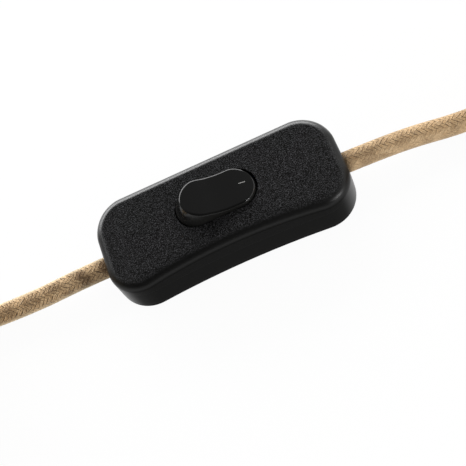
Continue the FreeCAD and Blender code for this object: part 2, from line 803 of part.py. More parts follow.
def hank_outline(sketch, x0, y0):
    """A dog-bone of two folds and a waist, half a cord wider than its strands."""
    fold = S.fold_radius + S.cord_radius
    waist = S.waist_radius - S.cord_radius
    centre_y = S.strand_offset + S.waist_radius
    apart = S.fold_radius + S.waist_radius
    reach = (apart * apart - centre_y * centre_y).root()
    share = fold / apart
    touch_x, touch_y = reach - reach * share, centre_y * share
    up = Vector(0, 0, 1)
    arcs = []
    lean = math.atan2(centre_y.value, reach.value)
    spans = (
        (x0 + reach, y0, fold, lean - math.pi, math.pi - lean),
        (x0, y0 + centre_y, waist, math.pi + lean, 2 * math.pi - lean),
        (x0 - reach, y0, fold, lean, 2 * math.pi - lean),
        (x0, y0 - centre_y, waist, lean, math.pi - lean),
    )
    for cx, cy, radius, first, last in spans:
        circle = Part.Circle(Vector(cx.value, cy.value, 0), up, radius.value)
        arc = sketch.addGeometry(Part.ArcOfCircle(circle, first, last))
        constrain(sketch, "Radius", arc, length=radius)
        arcs.append(arc)
    right, back, left, front = arcs
    corners = (
        ((right, 2), (back, 2), x0 + touch_x, y0 + touch_y),
        ((left, 1), (back, 1), x0 - touch_x, y0 + touch_y),
        ((left, 2), (front, 2), x0 - touch_x, y0 - touch_y),
        ((right, 1), (front, 1), x0 + touch_x, y0 - touch_y),
    )
    for one, other, x, y in corners:
        sketch.addConstraint(Sketcher.Constraint("Coincident", *one, *other))
        place(sketch, one, x, y)
    return reach


def make_hank(label, x0, y0, layers, side):
    """The closed outer shape of a hank. Its fold next to the switch lies one cord higher."""
    body = new_body(label)
    plan = new_sketch(body)
    reach = hank_outline(plan, x0, y0)
    high = S.cord_radius * 2 * (layers + 1)
    low = S.cord_radius * 2 * layers
    pad(body, plan, high)
    round_edges(body, S.hank_round, on_face(body, max))
    for end in (-1, 1):
        eye = disc(new_sketch(body), x0 + reach * end, y0, S.fold_radius - S.cord_radius)
        pocket(body, eye, reverse=True)
    far = x0 + (reach + S.fold_radius * 2) * side
    near = x0 - (reach - S.fold_radius / 2) * side
    left, right = (near, far) if side > 0 else (far, near)
    pocket(body, rectangle(new_sketch(body, "XZ_Plane"), left, right, low, high + 1), symmetric=True)
    half = S.tie_width / 2
    inner = S.strand_offset + S.cord_radius - S.tie_bite
    outer = inner + S.tie_thick * 2
    underside = rectangle(new_sketch(body), x0 - half, x0 + half, y0 - outer, y0 + outer)
    pocket(body, underside, S.tie_thick, reverse=True)
    for front, back in ((y0 + inner, y0 + outer), (y0 - outer, y0 - inner)):
        pocket(body, rectangle(new_sketch(body), x0 - half, x0 + half, front, back), reverse=True)
    return body


def make_tie(label, x0, y0, layers):
    """A strap round the waist of a hank."""
    body = new_body(label)
    start = x0 - S.tie_width / 2
    inner = S.strand_offset + S.cord_radius - S.tie_bite
    outer = inner + S.tie_thick
    top = S.cord_radius * 2 * layers
    strap = rectangle(new_sketch(body, "YZ_Plane", start), y0 - outer, y0 + outer, 0, top + S.tie_thick)
    pad(body, strap, S.tie_width)
    hole = rectangle(new_sketch(body, "YZ_Plane", start), y0 - inner, y0 + inner, S.tie_thick, top)
    pocket(body, hole, S.tie_width, reverse=True)
    return body


# Plug, lying on the supply hank with its pins away from the switch

def make_plug(x0, y, layers):
    body = new_body("plug_body")
    z = S.cord_radius * 2 * layers + S.plug_thick / 2
    entry = x0 - S.plug_start
    neck = entry - S.relief_length
    shoulder = neck - S.shoulder_length
    face = shoulder - S.plug_grip
    relief = (entry, S.relief_tip), (neck, S.relief_root)
    loft(body, [disc(new_sketch(body, "YZ_Plane", at), y, z, radius) for at, radius in relief])
    wide = stadium(new_sketch(body, "YZ_Plane", shoulder), S.plug_width, S.plug_thick, y, z)
    loft(body, [stadium(new_sketch(body, "YZ_Plane", neck), S.neck_width, S.neck_thick, y, z), wide])
    grip = stadium(new_sketch(body, "YZ_Plane", shoulder), S.plug_width, S.plug_thick, y, z)
    pad(body, grip, S.plug_grip, reverse=True)
    for label, side in (("plug_pin_front", -1), ("plug_pin_rear", 1)):
        at = y + S.pin_pitch / 2 * side, z
        pocket(body, disc(new_sketch(body, "YZ_Plane", face), *at, S.pin_shank), S.pin_seat, reverse=True)
        pin = new_body(label)
        pad(pin, disc(new_sketch(pin, "YZ_Plane", face), *at, S.pin_radius), S.pin_length, reverse=True)
        pad(pin, disc(new_sketch(pin, "YZ_Plane", face), *at, S.pin_shank), S.pin_seat)
        tip = (face - S.pin_length).value
        round_edges(pin, S.pin_round, lambda edge: edge.BoundBox.XMax < tip + 0.01)
    return body


# The free cord: routes chosen by hand, from the housing to the waist of each hank

CORD_REST = 3.4
SUPPLY_ROUTE = [
    (-40.0, 0.0, 5.6), (-51.0, 0.0, 5.6), (-63.0, 0.1, 4.7), (-76.0, 0.7, 3.6),
    (-90.0, 1.9, CORD_REST), (-105.0, 3.1, CORD_REST), (-120.0, 3.5, CORD_REST),
]
LOAD_ROUTE = [
    (40.0, 0.0, 5.6), (51.0, 0.0, 5.6), (63.0, -0.8, 4.6), (76.0, -2.3, 3.6),
    (90.0, -3.2, CORD_REST), (105.0, -3.5, CORD_REST), (120.0, -3.5, CORD_REST),
]
# From the last fold to the plug, and from the last fold to the bare end
SUPPLY_TAIL = [
    (-100.0, 20.5, 23.5), (-109.8, 20.5, 23.5), (-118.6, 16.0, 24.2),
    (-124.3, 7.9, 25.9), (-133.0, 3.5, 26.95), (-142.8, 3.5, 26.95),
]
LOAD_TAIL = [
    (102.0, -20.5, 23.5), (111.8, -20.5, 23.5), (120.6, -16.0, 23.6),
    (126.3, -7.9, 23.9), (135.0, -3.5, 24.2), (152.8, -3.5, 24.2),
]
LOAD_ENDS = {
    "load_line": [
        (152.8, -4.8, 24.2), (158.8, -4.8, 24.2), (165.8, -6.0, 22.5),
        (172.8, -7.4, 21.2), (178.0, -8.2, 21.2),
    ],
    "load_neutral": [
        (152.8, -2.2, 24.2), (158.8, -2.2, 24.2), (165.8, -1.0, 22.5),
        (172.8, 0.4, 21.2), (178.0, 1.2, 21.2),
    ],
}


def make_cords():
    make_tube("supply_cord", [Vector(*p) for p in SUPPLY_ROUTE], S.cord_radius)
    make_tube("supply_tail", [Vector(*p) for p in SUPPLY_TAIL], S.cord_radius)
    make_tube("load_cord", [Vector(*p) for p in LOAD_ROUTE], S.cord_radius)
    make_tube("load_tail", [Vector(*p) for p in LOAD_TAIL], S.cord_radius)
    for name, route in LOAD_ENDS.items():
        points = [Vector(*p) for p in route]
        make_tube(f"{name}_end", points, S.core_radius)
        along = (points[-1] - points[-2]).normalize()
        sleeve = Part.makeCylinder(S.ferrule_radius.value, S.ferrule_length.value, points[-1], along)
        made = doc.addObject("Part::Feature", f"{name}_ferrule")
        made.Label = f"{name}_ferrule"
        made.Shape = sleeve
        made.Placement = Placement()
        parts.append(made)


make_base()
make_cover()
make_rocker()
make_plunger()
make_spring()
make_contact_rocker()
make_moving_contact()
make_fixed_contact()
make_line_in()
make_line_out()
make_neutral()
block_head = S.terminal_head, S.terminal_head_height
screw_tip = S.wire_height + S.core_radius
for label, x, y in (
    ("line_in_screw", -S.block_reach, -S.block_offset),
    ("line_out_screw", S.block_reach, -S.block_offset),
    ("neutral_screw_supply", -neutral_screw_reach, S.neutral_offset),
    ("neutral_screw_load", neutral_screw_reach, S.neutral_offset),
):
    make_screw(label, x, y, screw_tip, block_top, S.terminal_screw, *block_head)
for name, side in (("supply", -1), ("load", 1)):
    make_cord_end(f"{name}_cord_end", side)
    make_clamp(f"{name}_clamp", side)
    for place_name, rear in (("front", -1), ("rear", 1)):
        at = clamp_reach * side, S.clamp_screw_offset * rear
        ends = S.base_floor, S.clamp_foot + S.wall
        head = S.clamp_head, S.clamp_head_height
        make_screw(f"{name}_clamp_screw_{place_name}", *at, *ends, S.clamp_screw, *head)
    at = screw_reach * side, S.screw_offset * side
    ends = S.base_height + S.screw_grip * 0.8, S.counterbore_depth
    make_screw(f"housing_screw_{name}", *at, *ends, S.screw_radius, S.screw_head, S.screw_head_height)
make_cores()
supply_at = -S.supply_hank_reach, dim(0), S.supply_layers
load_at = S.load_hank_reach, dim(0), S.load_layers
make_hank("supply_hank", *supply_at, -1)
make_hank("load_hank", *load_at, 1)
make_tie("supply_tie", *supply_at)
make_tie("load_tie", *load_at)
make_plug(-S.supply_hank_reach, S.strand_offset, S.supply_layers)
make_cords()

doc.recompute()
for thing in doc.Objects:
    if "Invalid" in thing.State or "Error" in thing.State:
        raise RuntimeError(f"{thing.Label} failed: {thing.State}")
os.makedirs("parts", exist_ok=True)
for thing in parts:
    if thing.Shape.isNull() or not thing.Shape.isValid():
        raise RuntimeError(f"{thing.Label} has no valid shape")
    thing.Shape.exportStep(f"parts/{thing.Label}.step")
print(len(parts), "parts written")
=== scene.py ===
import json
import math

import bmesh
import bpy
import numpy as np
from mathutils import Matrix, Vector


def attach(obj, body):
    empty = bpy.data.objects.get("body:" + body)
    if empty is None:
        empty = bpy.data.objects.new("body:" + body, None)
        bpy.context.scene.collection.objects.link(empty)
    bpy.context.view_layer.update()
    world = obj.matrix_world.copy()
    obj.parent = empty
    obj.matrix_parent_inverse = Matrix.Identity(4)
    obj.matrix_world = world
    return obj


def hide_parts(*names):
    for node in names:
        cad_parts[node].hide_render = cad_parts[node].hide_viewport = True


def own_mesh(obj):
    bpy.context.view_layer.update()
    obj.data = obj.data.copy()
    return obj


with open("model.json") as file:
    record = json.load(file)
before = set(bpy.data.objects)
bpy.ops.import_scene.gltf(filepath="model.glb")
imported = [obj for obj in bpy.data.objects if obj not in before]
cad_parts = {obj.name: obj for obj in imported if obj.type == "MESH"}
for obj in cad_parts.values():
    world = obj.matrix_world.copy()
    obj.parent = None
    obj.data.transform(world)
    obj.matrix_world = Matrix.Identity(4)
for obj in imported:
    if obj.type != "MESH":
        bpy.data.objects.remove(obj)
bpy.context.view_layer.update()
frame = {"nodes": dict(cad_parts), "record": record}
nodes = frame["nodes"]

# Inline cord switch on a braided lamp lead.
# X runs along the body towards the load end, Y to the back, Z up from the underside.
# The scene is in metres. Cord routes, ties and the mark are written in millimetres.

MM = 0.001


def add_object(name, data):
    """A new object in the scene."""
    thing = bpy.data.objects.new(name, data)
    bpy.context.scene.collection.objects.link(thing)
    return thing


def closed_object(name, bm, material):
    """A new object from a closed bmesh, with its faces turned outward."""
    bmesh.ops.recalc_face_normals(bm, faces=bm.faces)
    mesh = bpy.data.meshes.new(name)
    bm.to_mesh(mesh)
    bm.free()
    mesh.materials.append(material)
    return add_object(name, mesh)


# Camera at the photograph's viewing angle

PICTURE_WIDTH = 466
FOCAL_PIXELS = 983.4
SENSOR = 36.0
CLIP_START = 0.01
CAMERA_AZIMUTH = math.radians(9.23)
CAMERA_ELEVATION = math.radians(61.5)
CAMERA_ROLL = math.radians(-32.21)
CAMERA_DISTANCE = 0.300
CAMERA_TARGET = Vector((0.00004, -0.0081, 0.008))


def camera_axes():
    """The camera's right, up and backward directions."""
    cos_a, sin_a = math.cos(CAMERA_AZIMUTH), math.sin(CAMERA_AZIMUTH)
    cos_e, sin_e = math.cos(CAMERA_ELEVATION), math.sin(CAMERA_ELEVATION)
    level = Vector((cos_a, sin_a, 0))
    back = Vector((sin_a * cos_e, -cos_a * cos_e, sin_e))
    upward = back.cross(level)
    right = level * math.cos(CAMERA_ROLL) + upward * math.sin(CAMERA_ROLL)
    up = upward * math.cos(CAMERA_ROLL) - level * math.sin(CAMERA_ROLL)
    return right, up, back


def make_camera():
    """Sets the camera at its distance from the target."""
    right, up, back = camera_axes()
    data = bpy.data.cameras.new("camera")
    data.sensor_width = SENSOR
    data.lens = FOCAL_PIXELS / PICTURE_WIDTH * SENSOR
    data.clip_start = CLIP_START
    camera = add_object("camera", data)
    turn = Matrix((right, up, back)).transposed()
    camera.matrix_world = Matrix.Translation(CAMERA_TARGET + back * CAMERA_DISTANCE) @ turn.to_4x4()
    bpy.context.scene.camera = camera


# Node helpers

class Graph:
    """The nodes of a material, a group or the world, with short ways to add and join them."""

    def __init__(self, tree):
        self.tree = tree

    def add(self, kind, **settings):
        node = self.tree.nodes.new(kind)
        for name, value in settings.items():
            setattr(node, name, value)
        return node

    def put(self, value, socket):
        """Joins an output to a socket, or sets a plain value on it."""
        if isinstance(value, bpy.types.NodeSocket):
            self.tree.links.new(value, socket)
        else:
            socket.default_value = value

    def math(self, operation, *values, clamp=False):
        node = self.add("ShaderNodeMath", operation=operation, use_clamp=clamp)
        for value, socket in zip(values, node.inputs):
            self.put(value, socket)
        return node.outputs[0]

    def ramp(self, value, low, high, first=0.0, last=1.0):
        """A smooth step from first to last as value goes from low to high."""
        node = self.add("ShaderNodeMapRange", interpolation_type="SMOOTHSTEP")
        for given, socket in zip((value, low, high, first, last), node.inputs):
            self.put(given, socket)
        return node.outputs[0]

    def mix(self, share, first, second):
        """Two colours mixed by share. A plain colour is given as its red, green and blue."""
        node = self.add("ShaderNodeMix", data_type="RGBA")
        self.put(share, node.inputs["Factor"])
        for colour, socket in ((first, node.inputs[6]), (second, node.inputs[7])):
            self.put((*colour, 1) if isinstance(colour, tuple) else colour, socket)
        return node.outputs[2]

    def split(self, vector):
        """The X, Y and Z of a vector."""
        node = self.add("ShaderNodeSeparateXYZ")
        self.put(vector, node.inputs[0])
        return node.outputs

    def coordinates(self, kind):
        return self.add("ShaderNodeTexCoord").outputs[kind]

    def normal(self):
        return self.add("ShaderNodeNewGeometry").outputs["Normal"]

    def noise(self, vector, scale, detail=2.0, roughness=0.5):
        node = self.add("ShaderNodeTexNoise")
        self.put(vector, node.inputs["Vector"])
        self.put(scale, node.inputs["Scale"])
        self.put(detail, node.inputs["Detail"])
        self.put(roughness, node.inputs["Roughness"])
        return node.outputs["Fac"]

    def place(self, group, **inputs):
        """A shared effect with its own values; returns its outputs."""
        node = self.add("ShaderNodeGroup", node_tree=group)
        for name, value in inputs.items():
            self.put(value, node.inputs[name])
        return node.outputs

    def bump(self, height, strength, distance):
        node = self.add("ShaderNodeBump")
        self.put(height, node.inputs["Height"])
        self.put(strength, node.inputs["Strength"])
        self.put(distance, node.inputs["Distance"])
        return node.outputs["Normal"]


def new_group(name, inputs, outputs):
    """An empty shader group with named sockets, its graph, and its input and output nodes."""
    tree = bpy.data.node_groups.new(name, "ShaderNodeTree")
    for socket, kind in inputs.items():
        tree.interface.new_socket(socket, in_out="INPUT", socket_type=f"NodeSocket{kind}")
    for socket, kind in outputs.items():
        tree.interface.new_socket(socket, in_out="OUTPUT", socket_type=f"NodeSocket{kind}")
    graph = Graph(tree)
    given = graph.add("NodeGroupInput").outputs
    result = graph.add("NodeGroupOutput").inputs
    return tree, graph, given, result


def new_material(name, **plain):
    """A material with a Principled shader whose plain values are set on its sockets."""
    material = bpy.data.materials.new(name)
    material.use_nodes = True
    graph = Graph(material.node_tree)
    shader = next(n for n in material.node_tree.nodes if n.type == "BSDF_PRINCIPLED")
    for socket, value in plain.items():
        shader.inputs[socket.replace("_", " ")].default_value = value
    return material, graph, shader


# Shared effects

BRAID_COLUMNS = 14.0    # crossings round the cord
BRAID_REPEAT = 4.0      # crossings after which the braid repeats
BRAID_OVER = 1.5        # up to here in a repeat, the right-hand bundle lies on top
STRAY_SCALE = 300.0     # bundles that wander round the cord
DRAWN_SCALE = 240.0     # bundles that are drawn along it


def make_drift():
    """Slow unevenness of a moulded or plated surface, about 0.5."""
    tree, graph, given, result = new_group(
        "surface_drift", {"Scale": "Float", "Spread": "Float"}, {"Value": "Float"}
    )
    cloud = graph.noise(graph.coordinates("Object"), given["Scale"], detail=3.0)
    centred = graph.math("SUBTRACT", cloud, 0.5)
    graph.put(graph.math("MULTIPLY_ADD", centred, given["Spread"], 0.5), result["Value"])
    return tree


def make_grain():
    """Spark-eroded mould grain: its height, and a mask of pale flecks that are painted glints."""
    tree, graph, given, result = new_group(
        "spark_grain", {"Scale": "Float"}, {"Height": "Float", "Painted_Glint": "Float"}
    )
    points = graph.coordinates("Object")
    pits = graph.add("ShaderNodeTexVoronoi", feature="SMOOTH_F1")
    graph.put(points, pits.inputs["Vector"])
    graph.put(given["Scale"], pits.inputs["Scale"])
    graph.put(0.35, pits.inputs["Smoothness"])
    fine_scale = graph.math("MULTIPLY", given["Scale"], 0.85)
    fine = graph.noise(points, fine_scale, detail=2.5, roughness=0.6)
    depth = graph.math("MULTIPLY", pits.outputs["Distance"], 0.9)
    graph.put(graph.math("MULTIPLY_ADD", fine, 0.8, depth), result["Height"])
    graph.put(graph.ramp(fine, 0.48, 0.62), result["Painted_Glint"])
    return tree


def make_braid():
    """A two-over-two braid on UV: height, gaps, yarns and a tone for each bundle."""
    tree, graph, given, result = new_group(
        "braid_weave",
        {"Around": "Float", "Yarns": "Float", "Jitter": "Float"},
        {"Height": "Float", "Gap": "Float", "Yarn": "Float", "Tone": "Float"},
    )
    uv = graph.split(graph.coordinates("UV"))
    points = graph.coordinates("Object")
    stray = graph.math("SUBTRACT", graph.noise(points, STRAY_SCALE), 0.5)
    drawn = graph.math("SUBTRACT", graph.noise(points, DRAWN_SCALE), 0.5)
    turn = graph.math("MULTIPLY", uv["X"], given["Around"])
    turn = graph.math("MULTIPLY_ADD", stray, given["Jitter"], turn)
    run = graph.math("MULTIPLY_ADD", drawn, given["Jitter"], uv["Y"])
    right, left = graph.math("ADD", turn, run), graph.math("SUBTRACT", turn, run)
    column, row = graph.math("FLOOR", right), graph.math("FLOOR", left)
    crossing = graph.math("FLOORED_MODULO", graph.math("ADD", column, row), BRAID_REPEAT)
    over = graph.math("LESS_THAN", crossing, BRAID_OVER)
    upper = graph.add("ShaderNodeMix", data_type="FLOAT")
    for value, socket in ((over, upper.inputs[0]), (left, upper.inputs[2]), (right, upper.inputs[3])):
        graph.put(value, socket)
    across = graph.math("MULTIPLY", graph.math("FRACT", upper.outputs[0]), math.pi)
    bundle = graph.math("SINE", across)
    yarn = graph.math("ABSOLUTE", graph.math("SINE", graph.math("MULTIPLY", across, given["Yarns"])))
    cell = graph.add("ShaderNodeCombineXYZ")
    graph.put(column, cell.inputs[0])
    graph.put(row, cell.inputs[1])
    tone = graph.add("ShaderNodeTexWhiteNoise", noise_dimensions="3D")
    graph.put(cell.outputs[0], tone.inputs["Vector"])
    height = graph.math("MULTIPLY_ADD", yarn, 0.35, graph.math("POWER", bundle, 0.5))
    graph.put(height, result["Height"])
    graph.put(graph.ramp(bundle, 0.55, 0.05), result["Gap"])
    graph.put(yarn, result["Yarn"])
    graph.put(tone.outputs["Value"], result["Tone"])
    return tree


drift = make_drift()
grain = make_grain()
braid = make_braid()


# Finishes

GRAIN_SCALE = 4000.0
GRAIN_DEPTH = 0.00028
GRAIN_FROM = 0.010      # height over which faces that look up are grained

FIBRE_SCALE = 2100.0
CLOTH_DEPTH = 0.00018
FLAT_PAINTED_LIGHT_SIDE = 0.03      # side on which a lead's weave bump is flattened and its cloth painted paler as painted light, in turns round the cord

LINEN = (0.53, 0.34, 0.172), (0.68, 0.46, 0.25)
PALE_BUNDLE = (0.76, 0.565, 0.345)
# paler cloth painted on a lead's front as painted light
PAINTED_FRONT_LIGHT = (0.84, 0.65, 0.43)
SOIL = (0.15, 0.088, 0.043)
# dark colour painted between the yarns as painted shade
PAINTED_YARN_SHADE = (0.13, 0.078, 0.037)
DARK_FIBRE = (0.085, 0.05, 0.024)
LIGHT_FIBRE = (0.88, 0.68, 0.42)
# dark colour painted in the gaps between bundles as painted shade
PAINTED_GAP_SHADE = (0.095, 0.053, 0.023)
# pale colour painted on the cord's sides as a painted sheen
PAINTED_SHEEN_CLOTH = (0.84, 0.69, 0.46)


def housing_plastic():
    """Black moulded housing: grained on its top face, polished round the edges, satin sides."""
    material, graph, shader = new_material(
        "housing_plastic", Specular_IOR_Level=0.012, Coat_Roughness=0.36
    )
    facing = graph.split(graph.normal())
    height = graph.split(graph.coordinates("Object"))["Z"]
    above = graph.math("GREATER_THAN", height, GRAIN_FROM)
    grained = graph.math("MULTIPLY", graph.ramp(facing["Z"], 0.76, 0.97, 0.05, 1.0), above)
    sparks = graph.place(grain, Scale=GRAIN_SCALE)
    slow = graph.place(drift, Scale=60.0, Spread=0.5)["Value"]
    body = graph.mix(slow, (0.003, 0.003, 0.0028), (0.004, 0.004, 0.0037))
    # Pale flecks in the grained top's colour are painted glints of the grain.
    painted_glint = graph.math("MULTIPLY", sparks["Painted_Glint"], grained)
    graph.put(graph.mix(painted_glint, body, (0.045, 0.045, 0.0475)), shader.inputs["Base Color"])
    satin = graph.math("MULTIPLY_ADD", slow, 0.08, 0.26)
    graph.put(graph.math("MULTIPLY_ADD", grained, 0.2, satin), shader.inputs["Roughness"])
    ends = graph.ramp(graph.math("ABSOLUTE", facing["X"]), 0.4, 0.95, 0.0, 0.62)
    far_side = graph.ramp(facing["Y"], -0.05, 0.25, 0.42, 0.95)
    rounded = graph.ramp(facing["Z"], 0.1, 0.45, ends, far_side)
    graph.put(graph.ramp(facing["Z"], 0.93, 0.995, rounded, 0.02), shader.inputs["Coat Weight"])
    relief = graph.math("MULTIPLY", sparks["Height"], grained)
    graph.put(graph.bump(relief, 1.0, GRAIN_DEPTH), shader.inputs["Normal"])
    return material


def rocker_plastic():
    """Black rocker with a polished top and satin flanks, whose colour is painted lighter as painted
    light.
    """
    material, graph, shader = new_material("rocker_plastic", Specular_IOR_Level=0.3)
    slow = graph.place(drift, Scale=140.0, Spread=0.6)["Value"]
    tone = graph.mix(slow, (0.0032, 0.0032, 0.0031), (0.0042, 0.0042, 0.004))
    # Flanks that face sideways get a lighter colour, which is painted light, and a rougher satin finish.
    painted_light_flank = graph.ramp(graph.split(graph.normal())["Z"], 0.6, 0.3)
    graph.put(graph.mix(painted_light_flank, tone, (0.0115, 0.0115, 0.0108)), shader.inputs["Base Color"])
    polish = graph.math("MULTIPLY_ADD", slow, 0.05, 0.09)
    graph.put(graph.math("MULTIPLY_ADD", painted_light_flank, 0.2, polish), shader.inputs["Roughness"])
    return material


def braided_textile(name, soiled, contrast, painted_sheen, upper, front_flattening_and_painted_light):
    """Tan linen braid: bundles of yarn with painted shade in their gaps and between the yarns, loose
    fibre, and soiled cloth by the switch.

    The cloth is painted paler away from its upper side, a painted sheen on the cord's sides.
    Along its front, the cloth is painted paler by the given share, with fainter painted gap shade, as
    painted light, and the weave's bump is flattened there.
    """
    material, graph, shader = new_material(
        name, Sheen_Weight=0.45, Sheen_Roughness=0.5, Sheen_Tint=(1.0, 0.85, 0.66, 1),
        Specular_IOR_Level=0.1,
    )
    weave = graph.place(braid, Around=BRAID_COLUMNS, Yarns=2.0, Jitter=1.1)
    points = graph.coordinates("Object")
    fibre = graph.noise(points, FIBRE_SCALE, detail=3.0, roughness=0.7)
    slow = graph.place(drift, Scale=70.0, Spread=1.8)["Value"]
    uv = graph.split(graph.coordinates("UV"))

    def towards(side):
        """1 on the given side of the cord, in turns round it, and -1 opposite."""
        angle = graph.math("MULTIPLY_ADD", uv["X"], 2 * math.pi, -2 * math.pi * side)
        return graph.math("COSINE", angle)

    # On the front side the weave's bump is flattened and the cloth is painted paler, with less painted
    # gap shade: painted light.
    outside_painted_front_light = graph.ramp(towards(FLAT_PAINTED_LIGHT_SIDE), 0.55, 0.9, 1.0, 1.0 - front_flattening_and_painted_light)
    # The sides away from the upper side are painted paler: a painted sheen.
    painted_light_flank = graph.ramp(towards(upper), 0.78, 0.2, 0.0, painted_sheen)
    near = graph.ramp(uv["Y"], 18.0, 3.0, 0.66, 1.0)
    patches = graph.ramp(graph.noise(points, 210.0), 0.38, 0.62, 0.3, 1.0)
    dirt = graph.math("MULTIPLY", graph.math("MULTIPLY", near, patches), soiled)
    # Dark lines between the yarns and dark gaps between the bundles are painted shade in the weave's
    # grooves.
    painted_yarn_shade = graph.math("MULTIPLY", graph.ramp(weave["Yarn"], 0.7, 0.0, 0.0, 0.5 * contrast), outside_painted_front_light)
    painted_gap_shade = graph.math("MULTIPLY", graph.math("MULTIPLY", weave["Gap"], 0.92 * contrast), outside_painted_front_light)
    cloth = graph.mix(slow, *LINEN)
    for share, colour in (
        (graph.math("MULTIPLY", weave["Tone"], 0.4), PALE_BUNDLE),
        (graph.math("MULTIPLY_ADD", outside_painted_front_light, -0.25, 0.25), PAINTED_FRONT_LIGHT),
        (dirt, SOIL),
        (painted_yarn_shade, PAINTED_YARN_SHADE),
        (graph.ramp(fibre, 0.5, 0.36, 0.0, 0.42 * contrast), DARK_FIBRE),
        (graph.ramp(fibre, 0.53, 0.66, 0.0, 0.42 * contrast), LIGHT_FIBRE),
        (painted_gap_shade, PAINTED_GAP_SHADE),
        (painted_light_flank, PAINTED_SHEEN_CLOTH),
    ):
        cloth = graph.mix(share, cloth, colour)
    graph.put(cloth, shader.inputs["Base Color"])
    graph.put(graph.math("MULTIPLY_ADD", fibre, 0.2, 0.72), shader.inputs["Roughness"])
    height = graph.math("MULTIPLY_ADD", fibre, 0.4, graph.math("MULTIPLY", weave["Height"], outside_painted_front_light))
    graph.put(graph.bump(height, 1.0, CLOTH_DEPTH), shader.inputs["Normal"])
    return material


def plain_metal(name, dark, light, roughness):
    """Plated or drawn metal with a slow change of tone."""
    material, graph, shader = new_material(name, Metallic=1.0)
    slow = graph.place(drift, Scale=500.0, Spread=1.4)["Value"]
    graph.put(graph.mix(slow, dark, light), shader.inputs["Base Color"])
    graph.put(graph.math("MULTIPLY_ADD", slow, 0.12, roughness), shader.inputs["Roughness"])
    return material


def plain_plastic(name, dark, light, roughness):
    """Moulded plastic with a slow change of tone and a faint grain."""
    material, graph, shader = new_material(name)
    slow = graph.place(drift, Scale=220.0, Spread=1.2)["Value"]
    sparks = graph.place(grain, Scale=2200.0)
    graph.put(graph.mix(slow, dark, light), shader.inputs["Base Color"])
    graph.put(graph.math("MULTIPLY_ADD", slow, 0.1, roughness), shader.inputs["Roughness"])
    graph.put(graph.bump(sparks["Height"], 0.2, 0.0001), shader.inputs["Normal"])
    return material


def strap_webbing():
    """Black woven strap of the cord ties."""
    material, graph, shader = new_material("strap_webbing", Sheen_Weight=0.3, Specular_IOR_Level=0.2)
    points = graph.coordinates("Object")
    wave = graph.add("ShaderNodeTexWave", wave_type="BANDS", bands_direction="X")
    graph.put(points, wave.inputs["Vector"])
    graph.put(420.0, wave.inputs["Scale"])
    graph.put(1.5, wave.inputs["Distortion"])
    rib = wave.outputs["Fac"]
    pile = graph.noise(points, 2500.0)
    tone = graph.mix(rib, (0.008, 0.008, 0.008), (0.022, 0.022, 0.021))
    graph.put(tone, shader.inputs["Base Color"])
    graph.put(graph.math("MULTIPLY_ADD", pile, 0.2, 0.65), shader.inputs["Roughness"])
    graph.put(graph.bump(graph.math("ADD", rib, pile), 0.6, 0.0002), shader.inputs["Normal"])
    return material


FINISHES = {
    "housing": housing_plastic(),
    "rocker": rocker_plastic(),
    "acetal": plain_plastic("acetal", (0.7, 0.69, 0.65), (0.78, 0.77, 0.73), 0.35),
    "steel": plain_metal("zinc_plated_steel", (0.5, 0.5, 0.51), (0.66, 0.66, 0.67), 0.25),
    "brass": plain_metal("bright_brass", (0.62, 0.43, 0.16), (0.78, 0.58, 0.27), 0.22),
    "silver": plain_metal("contact_silver", (0.7, 0.7, 0.68), (0.84, 0.84, 0.82), 0.2),
    "braid": braided_textile(
        "load_braid", soiled=0.58, contrast=0.8, painted_sheen=0.1, upper=0.17, front_flattening_and_painted_light=0.7
    ),
    "soiled_braid": braided_textile(
        "supply_braid", soiled=1.0, contrast=1.05, painted_sheen=0.58, upper=0.33, front_flattening_and_painted_light=0.0
    ),
    "core_brown": plain_plastic("brown_insulation", (0.12, 0.045, 0.018), (0.17, 0.065, 0.028), 0.38),
    "core_blue": plain_plastic("blue_insulation", (0.02, 0.1, 0.36), (0.035, 0.15, 0.46), 0.38),
    "clamp": plain_plastic("clamp_nylon", (0.5, 0.5, 0.46), (0.6, 0.6, 0.56), 0.45),
    "tie": strap_webbing(),
    "plug": plain_plastic("plug_plastic", (0.008, 0.008, 0.0082), (0.0115, 0.0115, 0.0115), 0.4),
    "pin": plain_metal("nickel_plate", (0.66, 0.65, 0.61), (0.78, 0.77, 0.72), 0.14),
}


def dress_nodes():
    """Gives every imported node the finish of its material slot."""
    for part in frame["record"]["subparts"]:
        mesh = nodes[part["node"]].data
        mesh.materials.clear()
        mesh.materials.append(FINISHES[part["material_slot"]])


# The cord: its section in metres

CORD_RADIUS = 0.00335
CORD_SIDES = 48
LINE_STEPS = 17         # points of the line for each control point
BRAID_LENGTH = 0.0016
BRAID_RELIEF = 0.0001
MEAN_RELIEF = 0.7       # share of the relief that lies at the cord's radius

# Its lay in millimetres: routes listed, the hanks' turns by a loop

FLOOR_LEVEL = 3.4       # height of the cord's middle where it lies on the floor
LAYER = 6.72
HANK_LAYERS = 3
FOLD_RADIUS = 20.5
WAIST_RADIUS = 20.0
STRAND = 3.5
FOLD_STEPS = 12
WAIST_STEPS = 3
CLIMB_STEPS = 8
TAIL_STEPS = 4          # steps of the last fold that the tail takes over
SUPPLY_HANK = -140.8
LOAD_HANK = 142.8

